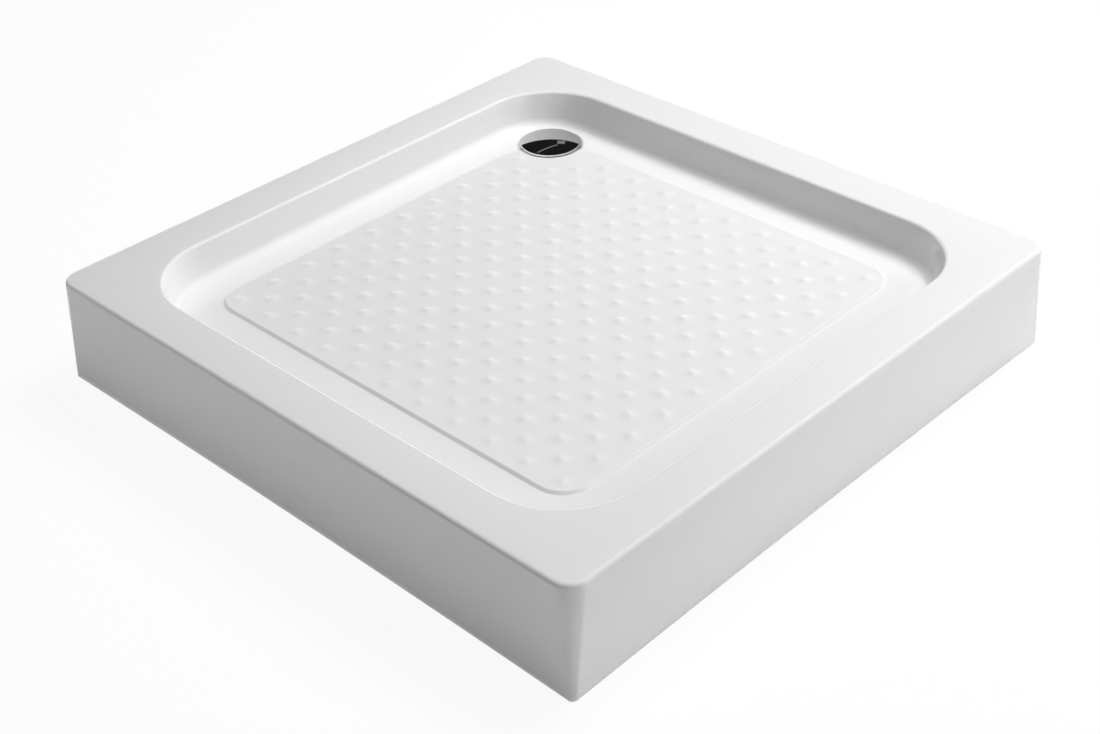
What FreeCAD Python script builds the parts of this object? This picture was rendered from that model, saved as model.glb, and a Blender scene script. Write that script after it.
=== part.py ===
import FreeCAD, Part
import functools
import math
import os
import re

import Sketcher

# Square shower tray with an integral skirt, a raised tread platform and a waste in one corner.
# Millimetres. +Z is up, and the floor that the tray stands on is z = 0. The origin is the middle
# of the tray. The waste is in the back left corner, at low x and high y.

SIZES = [
    # the moulded tray
    ("tray_side", 900, "overall side, at the foot of the skirt"),
    ("tray_height", 150, "floor to rim"),
    ("skirt_draft", 1.8, "how far each skirt leans in from foot to rim"),
    ("skirt_wall", 4, "thickness of the moulded sheet"),
    ("foot_corner", 8, "corner radius at the foot of the skirt"),
    ("rim_corner", 27, "corner radius at the rim"),
    ("rim_edge", 6, "rounding of the rim's outer edge"),
    ("rim_width", 64.7, "rim, from its outer edge to the basin's lip"),
    ("basin_lean", 11.9, "how far each basin wall leans in from lip to floor"),
    ("basin_depth", 48, "rim to floor"),
    ("basin_corner", 108, "corner radius of the basin's opening"),
    ("lip_edge", 4, "rounding of the basin's lip"),
    ("floor_fillet", 14, "fillet between basin wall and floor"),
    ("channel_width", 58.3, "floor between the basin's wall and the platform, at mid slope"),
    ("tread_slope", 3.2, "half of the width of the platform's sloping edge"),
    ("tread_rise", 4, "height of the platform over the floor"),
    ("tread_shift", 5, "how far the platform lies towards the waste, each way"),
    ("tread_corner", 40, "corner radius of the platform"),
    ("tread_waste_corner", 122, "corner radius of the platform beside the waste"),
    ("tread_edge", 2.4, "rounding at the top and foot of the platform's edge"),
    ("bump_pitch", 40.35, "spacing of the grip bumps along the diagonals"),
    ("bump_shift", 2, "how far the bumps' pattern lies left of the tray's middle"),
    ("bump_radius", 10, "radius of a grip bump at its foot"),
    ("bump_rise", 2, "height of a grip bump"),
    ("bump_margin", 34, "least distance from a bump's centre to the platform's corner"),
    # backing and board
    ("bond_gap", 0.1, "bond line between tray, backing and board"),
    ("backing_wall", 3, "thickness of the glass fibre backing"),
    ("backing_foot", 18, "height of the backing's lower edge over the floor"),
    ("board_thick", 12, "thickness of the base board"),
    ("board_inset", 21.6, "board's edge, inside the basin floor's edge"),
    ("board_corner", 80, "corner radius of the board"),
    ("board_notch", 66, "radius of the notch round the trap"),
    # frame of square tube
    ("tube_side", 30, "outer side of the frame tube"),
    ("tube_wall", 1.5, "wall of the frame tube"),
    ("rail_inset", 36.6, "middle of a side rail, inside the basin floor's edge"),
    ("rail_end_inset", 31.6, "back end of the right rail, inside the basin floor's edge"),
    ("front_rail_inset", 61.6, "front rail, inside the basin floor's edge"),
    ("middle_rail_y", 60, "middle rail's distance in front of the middle"),
    ("back_rail_inset", 181.6, "back rail, inside the basin floor's edge, clear of the trap"),
    ("plug_thick", 2, "thickness of an end plug's cap"),
    ("plug_depth", 12, "how far an end plug goes into its tube"),
    ("plug_fit", 0.15, "clearance of an end plug in its tube"),
    # feet
    ("stem_radius", 6, "M12 stem"),
    ("thread_pitch", 1.75, "pitch of the stem's thread"),
    ("thread_fit", 0.06, "radial clearance of the stem in its nuts and socket"),
    ("foot_travel", 24, "how far a foot screws down"),
    ("pad_radius", 22, "radius of a foot pad"),
    ("pad_height", 14, "height of a foot pad"),
    ("pad_neck", 11, "radius of a foot pad's neck"),
    ("pad_floor", 4, "plastic left under the stem's end"),
    ("nut_flats", 19, "across the flats of the M12 nuts"),
    ("weld_nut_height", 10, "height of the nut welded to a rail"),
    ("lock_nut_height", 6, "height of the lock nut"),
    ("wrench_flats", 15, "across the flats of the stem's spanner collar"),
    ("wrench_height", 6, "height of the spanner collar"),
    ("foot_inset", 25, "a corner foot's distance from the end rail"),
    # brackets and screws
    ("bracket_leg", 26, "leg of an angle bracket"),
    ("bracket_width", 22, "width of an angle bracket"),
    ("bracket_thick", 2, "sheet of an angle bracket"),
    ("bracket_hole", 17, "hole's distance from a bracket's corner"),
    ("screw_radius", 2, "shank of the screws"),
    ("screw_fit", 0.05, "clearance round a screw's shank"),
    ("screw_head", 4, "radius of a screw's head"),
    ("screw_head_height", 2.4, "height of a screw's head"),
    ("wood_screw_bite", 9, "how far a screw goes into the board"),
    ("tube_screw_bite", 8, "how far a screw goes through a tube's wall"),
    # waste
    ("waste_inset_left", 81.6, "waste's axis, inside the basin floor's left edge"),
    ("waste_inset_back", 76.6, "waste's axis, inside the basin floor's back edge"),
    ("dish_radius", 50, "flat dish that the waste sits in"),
    ("dish_depth", 1, "depth of the dish under the floor"),
    ("hole_margin", 4, "clearance of the barrel in the hole through tray and backing"),
    ("seal_margin", 1, "how much wider the bore of the two waste seals is than that hole"),
    ("upper_seal_outer", 47, "outer radius of the upper seal"),
    ("upper_seal_thick", 1, "upper seal"),
    ("flange_radius", 48, "outer radius of the chrome flange"),
    ("flange_thick", 2, "thickness of the chrome flange"),
    ("barrel_radius", 38, "threaded barrel of the flange"),
    ("barrel_wall", 3, "wall of the barrel"),
    ("barrel_depth", 28, "length of the barrel under the flange"),
    ("barrel_fit", 0.1, "clearance of the barrel in the trap's collar"),
    ("grate_step", 1, "how much wider the bore is that the grate drops into"),
    ("grate_depth", 6.5, "depth of the grate's seat under the flange's top"),
    ("grate_thick", 1.5, "thickness of the grate"),
    ("grate_fit", 0.3, "radial clearance of the grate and the dip tube's rim"),
    ("grate_hub", 8, "radius of the grate's hub"),
    ("grate_hub_height", 5, "height of the hub over the grate's plate"),
    ("grate_hole", 3.4, "radius of a hole in the grate"),
    ("cover_radius", 44, "radius of the chrome cover"),
    ("cover_rise", 3, "crown of the cover"),
    ("cover_sheet", 1.5, "thickness of the cover"),
    ("cover_gap", 1.2, "gap between flange and cover that the water runs through"),
    ("spigot_radius", 4, "cover's spigot in the grate's hub"),
    ("spigot_fit", 0.08, "radial clearance of the spigot"),
    ("spigot_length", 4, "length of the spigot in the hub"),
    # trap
    ("lower_seal_thick", 1.5, "lower seal"),
    ("lower_seal_outer", 51, "outer radius of the lower seal"),
    ("trap_flange", 52, "radius of the trap's clamping flange"),
    ("trap_flange_thick", 4, "thickness of the clamping flange"),
    ("trap_collar", 13, "height of the threaded collar"),
    ("trap_collar_wall", 7.9, "wall of the trap's threaded collar"),
    ("trap_wall", 3, "wall of the trap"),
    ("trap_foot", 8, "trap's height over the floor"),
    ("dip_radius", 24, "outer radius of the dip tube"),
    ("dip_wall", 2, "wall of the dip tube"),
    ("dip_foot", 16, "dip tube's lower end over the floor"),
    ("dip_plate", 2, "plate of the dip tube"),
    ("dip_rim", 8, "height of the dip tube's rim"),
    ("grip_height", 4, "height of the grip across the dip tube"),
    ("ledge_width", 4, "ledge that carries the dip tube"),
    ("ledge_thick", 2.5, "thickness of that ledge"),
    ("ring_thick", 1.5, "sealing ring under the dip tube's rim"),
    ("outlet_drop", 39.4, "axis of the outlet under the trap's top"),
    ("outlet_bore", 18, "bore of the outlet"),
    ("socket_bore", 20.3, "bore that takes a 40 mm waste pipe"),
    ("socket_depth", 25, "depth of that socket"),
    ("socket_radius", 23.5, "outer radius of the outlet"),
    ("outlet_reach", 80, "outlet's end from the waste's axis"),
    ("union_radius", 27, "outer radius of the union nut"),
    ("union_length", 22, "length of the union nut"),
    ("union_wall", 3, "end wall of the union nut"),
    ("union_fit", 0.1, "clearance of the union nut on the outlet"),
    ("outlet_seal_thick", 4, "rubber ring in the union nut"),
]

NAMES = [row[0] for row in SIZES]
doc = FreeCAD.newDocument("shower_tray")
sheet = doc.addObject("Spreadsheet::Sheet", "sizes")
for row_number, (alias, number, note) in enumerate(SIZES, 1):
    sheet.set("A%d" % row_number, alias)
    sheet.set("B%d" % row_number, str(number))
    sheet.set("C%d" % row_number, note)
    sheet.setAlias("B%d" % row_number, alias)
doc.recompute()

# Heights and places that several pieces share, written once as formulas of the sizes above.
PLACES = {
    "floor_z": "tray_height - basin_depth",
    "tread_z": "floor_z + tread_rise",
    "shell_under": "floor_z - skirt_wall",
    "backing_under": "shell_under - bond_gap - backing_wall",
    "board_top": "backing_under - bond_gap",
    "rail_top": "board_top - board_thick",
    "rail_under": "rail_top - tube_side",
    "basin_lip_half": "tray_side / 2 - skirt_draft - rim_width",
    "floor_half": "basin_lip_half - basin_lean",
    "floor_corner": "basin_corner - basin_lean",
    "tread_half": "floor_half - channel_width",
    "board_half": "floor_half - board_inset",
    "rail_offset": "floor_half - rail_inset",
    "rail_reach": "floor_half - rail_end_inset",
    "front_rail_y": "floor_half - front_rail_inset",
    "back_rail_y": "floor_half - back_rail_inset",
    "rail_face": "rail_offset - tube_side / 2",
    "weld_nut_z": "rail_under - weld_nut_height",
    "lock_nut_z": "weld_nut_z - lock_nut_height",
    "stem_top": "rail_under + foot_travel + 2 * tube_wall",
    "wrench_z": "pad_height + 1",
    "waste_x": "waste_inset_left - floor_half",
    "waste_y": "floor_half - waste_inset_back",
    "dish_z": "floor_z - dish_depth",
    "waste_hole": "barrel_radius + hole_margin",
    "seal_inner": "waste_hole + seal_margin",
    "flange_under": "dish_z + upper_seal_thick",
    "flange_top": "flange_under + flange_thick",
    "barrel_end": "flange_top - barrel_depth",
    "grate_z": "flange_top - grate_depth",
    "hub_top": "grate_z + grate_thick + grate_hub_height",
    "cover_edge": "flange_top + cover_gap",
    "cover_top": "cover_edge + cover_sheet + cover_rise",
    "dome_radius": "(cover_radius * cover_radius + cover_rise * cover_rise) / (2 * cover_rise)",
    "lower_seal_z": "backing_under - lower_seal_thick",
    "trap_top": "lower_seal_z",
    "trap_radius": "barrel_radius + barrel_fit + trap_collar_wall",
    "outlet_height": "trap_top - outlet_drop",
    "ring_z": "barrel_end + ledge_thick",
    "dip_plate_z": "ring_z + ring_thick",
    "barrel_bore": "barrel_radius - barrel_wall",
    "grate_bore": "barrel_bore + grate_step",
    "dip_rim_radius": "barrel_bore - grate_fit",
    "outlet_end": "waste_x + outlet_reach",
    "union_start": "outlet_end + outlet_seal_thick + union_wall - union_length",
}


def formula(text):
    """Write out shared places and point every size at its cell."""
    while any(name in PLACES for name in re.findall(r"[a-z_]+", text)):
        text = re.sub(r"[a-z_]+", lambda m: "(%s)" % PLACES[m[0]] if m[0] in PLACES else m[0], text)
    return re.sub(r"[a-z_]+", lambda m: "sizes." + m[0] if m[0] in NAMES else m[0], text)


@functools.cache
def size(text):
    """The present value of a formula, in millimetres."""
    sheet.set("E1", "=" + formula(text).replace("sizes.", ""))
    sheet.recompute()
    return float(sheet.get("E1"))


def bind(thing, **formulas):
    """Tie properties to formulas; place_x, place_y and place_z tie the placement."""
    for key, text in formulas.items():
        path = "Placement.Base." + key[-1] if key.startswith("place_") else key
        thing.setExpression(path, formula(text))
    return thing


def add(kind, name, **formulas):
    return bind(doc.addObject(kind, name), **formulas)


def cut(name, base, tool):
    result = doc.addObject("Part::Cut", name)
    result.Base = base
    result.Tool = tool
    return result


def fuse(name, *things):
    result = doc.addObject("Part::MultiFuse", name)
    result.Shapes = list(things)
    return result


def group(name, things):
    result = doc.addObject("Part::Compound", name)
    result.Links = list(things)
    return result


def box(name, x, y, z, dx, dy, dz):
    """A block whose middle in x and y is given, and whose underside is at z."""
    return add("Part::Box", name, Length=dx, Width=dy, Height=dz, place_x="%s - (%s) / 2" % (x, dx),
               place_y="%s - (%s) / 2" % (y, dy), place_z=z)


def cylinder(name, radius, z, height, x="0", y="0"):
    return add("Part::Cylinder", name, Radius=radius, Height=height, place_x=x, place_y=y, place_z=z)


def ring(name, outer, inner, z, height, x="0", y="0"):
    return cut(name, cylinder(name + "_disc", outer, z, height, x, y),
               cylinder(name + "_bore", inner, z, height, x, y))


def lying(thing):
    """Turn a cylinder so that it runs along +X from its place."""
    thing.Placement.Rotation = FreeCAD.Rotation(FreeCAD.Vector(0, 1, 0), 90)
    return thing


# --- Sketches and lofts -------------------------------------------------------------------------

def origin_plane(body):
    return [f for f in body.Origin.OriginFeatures if f.Role == "XY_Plane"][0]


def rounded_square(body, name, half, corner, z, shift="0", waste_corner=None):
    """A square outline at height z, moved by shift towards the waste, with rounded corners."""
    sketch = body.newObject("Sketcher::SketchObject", name)
    sketch.AttachmentSupport = (origin_plane(body), [""])
    sketch.MapMode = "FlatFace"
    sketch.setExpression("AttachmentOffset.Base.z", formula(z))
    reach = size(half)
    move = size(shift)
    radii = [corner, corner, waste_corner or corner, corner]
    turns = [(1, -1), (1, 1), (-1, 1), (-1, -1)]
    centres = []
    for (side_x, side_y), radius in zip(turns, radii):
        inset = reach - size(radius)
        centres.append(FreeCAD.Vector(side_x * inset - move, side_y * inset + move, 0))
    arcs = []
    for number, (centre, radius) in enumerate(zip(centres, radii)):
        circle = Part.Circle(centre, FreeCAD.Vector(0, 0, 1), size(radius))
        start = math.radians(90 * (number - 1))
        arcs.append(Part.ArcOfCircle(circle, start, start + math.pi / 2))
    arc_ids = [sketch.addGeometry(arc) for arc in arcs]
    lines = [Part.LineSegment(arcs[number - 1].EndPoint, arcs[number].StartPoint) for number in range(4)]
    line_ids = [sketch.addGeometry(line) for line in lines]
    for number in range(4):
        sketch.addConstraint(Sketcher.Constraint("Tangent", line_ids[number], 2, arc_ids[number], 1))
        sketch.addConstraint(Sketcher.Constraint("Tangent", arc_ids[number - 1], 2, line_ids[number], 1))
        kind = "Horizontal" if number % 2 == 0 else "Vertical"
        sketch.addConstraint(Sketcher.Constraint(kind, line_ids[number]))
        named(sketch, "corner_%d" % number, radii[number],
              Sketcher.Constraint("Radius", arc_ids[number], size(radii[number])))
    near = "%s - (%s)" % (half, shift)
    far = "%s + (%s)" % (half, shift)
    named(sketch, "front", near, Sketcher.Constraint("DistanceY", line_ids[0], 1, -1, 1, size(near)))
    named(sketch, "right", near, Sketcher.Constraint("DistanceX", -1, 1, line_ids[1], 1, size(near)))
    named(sketch, "back", far, Sketcher.Constraint("DistanceY", -1, 1, line_ids[2], 1, size(far)))
    named(sketch, "left", far, Sketcher.Constraint("DistanceX", line_ids[3], 1, -1, 1, size(far)))
    return sketch


def named(sketch, name, text, constraint):
    """Add a driving dimension to a sketch and tie it to a formula."""
    index = sketch.addConstraint(constraint)
    sketch.renameConstraint(index, name)
    sketch.setExpression("Constraints." + name, formula(text))


def circle_sketch(body, name, radius, z):
    """A circle round the waste's axis at height z."""
    sketch = body.newObject("Sketcher::SketchObject", name)
    sketch.AttachmentSupport = (origin_plane(body), [""])
    sketch.MapMode = "FlatFace"
    sketch.setExpression("AttachmentOffset.Base.x", formula("waste_x"))
    sketch.setExpression("AttachmentOffset.Base.y", formula("waste_y"))
    sketch.setExpression("AttachmentOffset.Base.z", formula(z))
    circle = sketch.addGeometry(Part.Circle(FreeCAD.Vector(0, 0, 0), FreeCAD.Vector(0, 0, 1), size(radius)))
    sketch.addConstraint(Sketcher.Constraint("Coincident", circle, 3, -1, 1))
    named(sketch, "radius", radius, Sketcher.Constraint("Radius", circle, size(radius)))
    return sketch


def loft(body, kind, name, upper, lower):
    """Straight walls from an upper outline down to a lower one."""
    feature = body.newObject("PartDesign::" + kind, name)
    feature.Profile = (upper, [""])
    feature.Sections = [(lower, [""])]
    feature.Ruled = True
    doc.recompute()
    return feature


def fillet(body, name, radius, z, half, shift="0"):
    """Round the outline at height z whose sides stand half away from its own middle."""
    base = body.Tip
    level = size(z)
    reach = size(half)
    move = size(shift)
    edges = []
    for number, edge in enumerate(base.Shape.Edges, 1):
        span = edge.BoundBox
        flat = abs(span.ZMin - level) < 0.01 and abs(span.ZMax - level) < 0.01
        furthest = max(span.XMax + move, span.YMax - move, -span.XMin - move, -span.YMin + move)
        if flat and abs(furthest - reach) < 0.01:
            edges.append("Edge%d" % number)
    feature = body.newObject("PartDesign::Fillet", name)
    feature.Base = (base, edges)
    bind(feature, Radius=radius)
    doc.recompute()
    return feature


def pocket_down(body, name, sketch, depth):
    feature = body.newObject("PartDesign::Pocket", name)
    feature.Profile = (sketch, [""])
    bind(feature, Length=depth)
    doc.recompute()
    return feature


def skirt_half(z, inset):
    """Half width of the skirt at height z, inside its face by inset."""
    return "tray_side / 2 - skirt_draft * (%s) / tray_height - (%s)" % (z, inset)


def skirt_corner(z, inset):
    """Corner radius of the skirt at height z: it grows evenly from foot to rim."""
    return "foot_corner + (rim_corner - foot_corner) * (%s) / tray_height - (%s)" % (z, inset)


# --- The moulded tray ---------------------------------------------------------------------------

def make_tray_shell():
    body = doc.addObject("PartDesign::Body", "tray_form")
    rim = rounded_square(body, "rim_outline", skirt_half("tray_height", "0"), "rim_corner", "tray_height")
    foot = rounded_square(body, "foot_outline", skirt_half("0", "0"), "foot_corner", "0")
    loft(body, "AdditiveLoft", "outside", rim, foot)
    fillet(body, "rim_rounding", "rim_edge", "tray_height", skirt_half("tray_height", "0"))
    top = "tray_height - skirt_wall"
    upper = rounded_square(body, "cavity_top", skirt_half(top, "skirt_wall"),
                           skirt_corner(top, "foot_corner / 2"), top)
    lower = rounded_square(body, "cavity_foot", skirt_half("0", "skirt_wall"), "foot_corner / 2", "0")
    loft(body, "SubtractiveLoft", "cavity", upper, lower)
    pan_top = rounded_square(body, "pan_top", "basin_lip_half + skirt_wall", "basin_corner + skirt_wall", top)
    pan_foot = rounded_square(body, "pan_foot", "floor_half + skirt_wall", "floor_corner + skirt_wall",
                              "shell_under")
    loft(body, "AdditiveLoft", "pan", pan_top, pan_foot)
    fillet(body, "pan_rounding", "floor_fillet + skirt_wall", "shell_under", "floor_half + skirt_wall")
    lip = rounded_square(body, "lip_outline", "basin_lip_half", "basin_corner", "tray_height")
    floor = rounded_square(body, "floor_outline", "floor_half", "floor_corner", "floor_z")
    loft(body, "SubtractiveLoft", "basin", lip, floor)
    fillet(body, "floor_rounding", "floor_fillet", "floor_z", "floor_half")
    fillet(body, "lip_rounding", "lip_edge", "tray_height", "basin_lip_half")
    tread_top = rounded_square(body, "tread_top", "tread_half - tread_slope", "tread_corner - tread_slope",
                               "tread_z", "tread_shift", "tread_waste_corner - tread_slope")
    tread_foot = rounded_square(body, "tread_foot", "tread_half + tread_slope", "tread_corner + tread_slope",
                                "floor_z", "tread_shift", "tread_waste_corner + tread_slope")
    loft(body, "AdditiveLoft", "tread", tread_top, tread_foot)
    fillet(body, "tread_rounding", "tread_edge", "tread_z", "tread_half - tread_slope", "tread_shift")
    fillet(body, "tread_foot_rounding", "tread_edge", "floor_z", "tread_half + tread_slope", "tread_shift")
    pocket_down(body, "dish", circle_sketch(body, "dish_circle", "dish_radius", "tray_height"),
                "tray_height - dish_z")
    pocket_down(body, "waste_opening", circle_sketch(body, "waste_circle", "waste_hole", "tray_height"),
                "tray_height")
    return fuse("tray_shell", body, make_grip_bumps())


def make_grip_bumps():
    """Low round bumps on a square lattice along the tray's diagonals, kept clear of the waste."""
    pitch = size("bump_pitch")
    rise = size("bump_rise")
    radius = size("bump_radius")
    shift = size("bump_shift")
    sphere = (radius ** 2 + rise ** 2) / (2 * rise)
    root = rise / 2
    low_angle = math.degrees(math.asin((sphere - rise - root) / sphere))
    centre_z = size("tread_z") + rise - sphere
    steps = int((size("tread_half") * math.sqrt(2) - size("bump_margin")) / pitch)
    clear = size("dish_radius") + radius + rise
    bumps = []
    for along in range(-steps, steps + 1):
        for across in range(abs(along) - steps, steps - abs(along) + 1):
            x = (across - along) * pitch / math.sqrt(2) - shift
            y = (across + along) * pitch / math.sqrt(2)
            if math.hypot(x - size("waste_x"), y - size("waste_y")) > clear:
                place = FreeCAD.Vector(x, y, centre_z)
                bumps.append(Part.makeSphere(sphere, place, FreeCAD.Vector(0, 0, 1), low_angle, 90, 360))
    feature = doc.addObject("Part::Feature", "grip_bumps")
    feature.Shape = Part.makeCompound(bumps)
    return feature


def make_fibreglass_backing():
    """Laminate under the rim and the pan and down the inside of the skirt."""
    body = doc.addObject("PartDesign::Body", "lining_form")
    top = "tray_height - skirt_wall - bond_gap"
    inside_top = top + " - backing_wall"
    outer_inset = "skirt_wall + bond_gap"
    inner_inset = outer_inset + " + backing_wall"
    loft(body, "AdditiveLoft", "lining",
         rounded_square(body, "lining_top", skirt_half(top, outer_inset),
                        skirt_corner(top, "foot_corner / 2"), top),
         rounded_square(body, "lining_foot", skirt_half("backing_foot", outer_inset),
                        skirt_corner("backing_foot", "foot_corner / 2"), "backing_foot"))
    loft(body, "SubtractiveLoft", "hollow",
         rounded_square(body, "hollow_top", skirt_half(inside_top, inner_inset),
                        skirt_corner(inside_top, "foot_corner / 2"), inside_top),
         rounded_square(body, "hollow_foot", skirt_half("backing_foot", inner_inset),
                        skirt_corner("backing_foot", "foot_corner / 2"), "backing_foot"))
    gap = " + skirt_wall + bond_gap"
    outside = gap + " + backing_wall"
    loft(body, "AdditiveLoft", "pan_lining",
         rounded_square(body, "lining_pan_top", "basin_lip_half" + outside, "basin_corner" + outside,
                        inside_top),
         rounded_square(body, "lining_pan_foot", "floor_half" + outside, "floor_corner" + outside,
                        "backing_under"))
    fillet(body, "pan_lining_rounding", "floor_fillet" + outside, "backing_under", "floor_half" + outside)
    room = doc.addObject("PartDesign::Body", "lining_room")
    loft(room, "AdditiveLoft", "pan_room",
         rounded_square(room, "room_top", "basin_lip_half" + gap, "basin_corner" + gap, top),
         rounded_square(room, "room_foot", "floor_half" + gap, "floor_corner" + gap,
                        "shell_under - bond_gap"))
    fillet(room, "pan_room_rounding", "floor_fillet" + gap, "shell_under - bond_gap", "floor_half" + gap)
    opening = cylinder("lining_opening", "waste_hole", "backing_foot", "tray_height", "waste_x", "waste_y")
    return cut("fibreglass_backing", body, fuse("lining_cuts", room, opening))


# --- Board, frame and brackets ------------------------------------------------------------------

# A board bracket stands against a rail's side; the angle turns its outward side from +X.
BOARD_BRACKETS = [
    ("-rail_face", "-front_rail_y / 2 - middle_rail_y / 2", 0),
    ("-rail_face", "back_rail_y / 2", 0),
    ("rail_face", "-front_rail_y / 2 - middle_rail_y / 2", 180),
    ("rail_face", "back_rail_y / 2", 180),
    ("-rail_face / 2", "tube_side / 2 - front_rail_y", 90),
    ("rail_face / 2", "tube_side / 2 - front_rail_y", 90),
    ("-rail_face / 2", "tube_side / 2 - middle_rail_y", 90),
    ("rail_face / 2", "tube_side / 2 - middle_rail_y", 90),
    ("rail_face / 4", "tube_side / 2 + back_rail_y", 90),
    ("3 * rail_face / 4", "tube_side / 2 + back_rail_y", 90),
]

# A corner bracket joins a cross rail to a side rail; the angle turns it into its own corner.
CORNER_BRACKETS = [
    ("-rail_face", "tube_side / 2 - front_rail_y", 0),
    ("rail_face", "tube_side / 2 - front_rail_y", 90),
    ("-rail_face", "tube_side / 2 - middle_rail_y", 0),
    ("rail_face", "tube_side / 2 - middle_rail_y", 90),
    ("-rail_face", "back_rail_y - tube_side / 2", 270),
    ("rail_face", "back_rail_y - tube_side / 2", 180),
]

FEET = [
    ("front_left", "-rail_offset", "foot_inset - front_rail_y"),
    ("front_right", "rail_offset", "foot_inset - front_rail_y"),
    ("back_left", "-rail_offset", "back_rail_y - foot_inset"),
    ("back_right", "rail_offset", "rail_reach - foot_inset"),
    ("middle", "0", "-middle_rail_y"),
    ("back_middle", "0", "back_rail_y"),
]


def turned(thing, x, y, z, angle, tilt=None):
    """Place a piece that was made at the origin, turned about Z."""
    turn = FreeCAD.Rotation(FreeCAD.Vector(0, 0, 1), angle)
    if tilt is not None:
        turn = turn.multiply(tilt)
    thing.Placement.Rotation = turn
    return bind(thing, place_x=x, place_y=y, place_z=z)


def offset(x, y, angle, along, side="0"):
    """The point that lies along the turned +X, and side along the turned +Y, from x, y."""
    cosine = round(math.cos(math.radians(angle)))
    sine = round(math.sin(math.radians(angle)))
    new_x = "%s + %d * (%s) - %d * (%s)" % (x, cosine, along, sine, side)
    new_y = "%s + %d * (%s) + %d * (%s)" % (y, sine, along, cosine, side)
    return new_x, new_y


UP = FreeCAD.Rotation(FreeCAD.Vector(0, 0, 1), 0)
BACK_ALONG_X = FreeCAD.Rotation(FreeCAD.Vector(0, 1, 0), -90)
BACK_ALONG_Y = FreeCAD.Rotation(FreeCAD.Vector(1, 0, 0), 90)


def make_screw(name, bite, x, y, z, angle, tilt):
    """A pan-head screw whose head's underside is at its place; the shank runs along its own +Z."""
    shank = add("Part::Cylinder", name + "_shank", Radius="screw_radius", Height=bite)
    head = add("Part::Cylinder", name + "_head", Radius="screw_head", Height="screw_head_height",
               place_z="-screw_head_height")
    return turned(fuse(name, shank, head), x, y, z, angle, tilt)


def make_drill(name, bite, x, y, z, angle, tilt):
    """The hole that a screw's shank passes through."""
    hole = add("Part::Cylinder", name, Radius="screw_radius + screw_fit", Height=bite + " + 2 * screw_fit")
    return turned(hole, x, y, z, angle, tilt)


def make_bracket(name, upright, x, y, z, angle):
    """An angle of sheet steel with a hole in each leg; upright ones have one leg level on top."""
    leg_a = add("Part::Box", name + "_leg_a", Length="bracket_thick", Width="bracket_leg",
                Height="bracket_width")
    leg_b = add("Part::Box", name + "_leg_b", Length="bracket_leg", Width="bracket_thick",
                Height="bracket_width")
    hole_a = make_drill(name + "_hole_a", "bracket_leg", "bracket_leg / 2", "bracket_hole",
                        "bracket_width / 2", 0, BACK_ALONG_X)
    hole_b = make_drill(name + "_hole_b", "bracket_leg", "bracket_hole", "bracket_leg / 2",
                        "bracket_width / 2", 0, BACK_ALONG_Y)
    angle_piece = cut(name, fuse(name + "_legs", leg_a, leg_b), fuse(name + "_holes", hole_a, hole_b))
    if not upright:
        return turned(angle_piece, x, y, z, angle)
    tilt = FreeCAD.Rotation(FreeCAD.Vector(1, 0, 0), -90)
    new_x, new_y = offset(x, y, angle, "0", "-bracket_width / 2")
    return turned(angle_piece, new_x, new_y, z, angle, tilt)


def make_frame_fasteners():
    """Brackets and screws; returns the holes to drill in the board and in the rails."""
    brackets, wood_screws, tube_screws, board_holes, rail_holes = [], [], [], [], []
    for number, (x, y, angle) in enumerate(BOARD_BRACKETS):
        name = "board_bracket_%d" % number
        brackets.append(make_bracket(name, True, x, y, "rail_top", angle))
        up_x, up_y = offset(x, y, angle, "bracket_hole")
        up_z = "rail_top - bracket_thick"
        wood_bite = "bracket_thick + wood_screw_bite"
        wood_screws.append(make_screw("wood_screw_%d" % number, wood_bite, up_x, up_y, up_z, angle, UP))
        board_holes.append(make_drill("board_hole_%d" % number, wood_bite, up_x, up_y, up_z, angle, UP))
        side_x, side_y = offset(x, y, angle, "bracket_thick")
        side_z = "rail_top - bracket_hole"
        tube_bite = "bracket_thick + tube_screw_bite"
        tube_screws.append(make_screw("side_screw_%d" % number, tube_bite, side_x, side_y, side_z, angle,
                                      BACK_ALONG_X))
        rail_holes.append(make_drill("side_hole_%d" % number, tube_bite, side_x, side_y, side_z, angle,
                                     BACK_ALONG_X))
    group("board_brackets", brackets)
    group("board_screws", wood_screws)
    corners = []
    for number, (x, y, angle) in enumerate(CORNER_BRACKETS):
        name = "corner_bracket_%d" % number
        low = "rail_top - tube_side / 2 - bracket_width / 2"
        corners.append(make_bracket(name, False, x, y, low, angle))
        tube_bite = "bracket_thick + tube_screw_bite"
        mid_z = "rail_top - tube_side / 2"
        spots = [offset(x, y, angle, "bracket_thick", "bracket_hole") + (BACK_ALONG_X,),
                 offset(x, y, angle, "bracket_hole", "bracket_thick") + (BACK_ALONG_Y,)]
        for leg, (spot_x, spot_y, tilt) in enumerate(spots):
            label = "%d_%d" % (number, leg)
            seat = (tube_bite, spot_x, spot_y, mid_z, angle, tilt)
            tube_screws.append(make_screw("corner_screw_" + label, *seat))
            rail_holes.append(make_drill("corner_hole_" + label, *seat))
    group("corner_brackets", corners)
    group("frame_screws", tube_screws)
    return board_holes, rail_holes


def make_base_board(holes):
    body = doc.addObject("PartDesign::Body", "board_form")
    outline = rounded_square(body, "board_outline", "board_half", "board_corner", "rail_top")
    pad = body.newObject("PartDesign::Pad", "board_slab")
    pad.Profile = (outline, [""])
    bind(pad, Length="board_thick")
    doc.recompute()
    notch = cylinder("board_notch_tool", "board_notch", "rail_top", "board_thick", "waste_x", "waste_y")
    return cut("base_board", body, fuse("board_cuts", notch, *holes))


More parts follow.
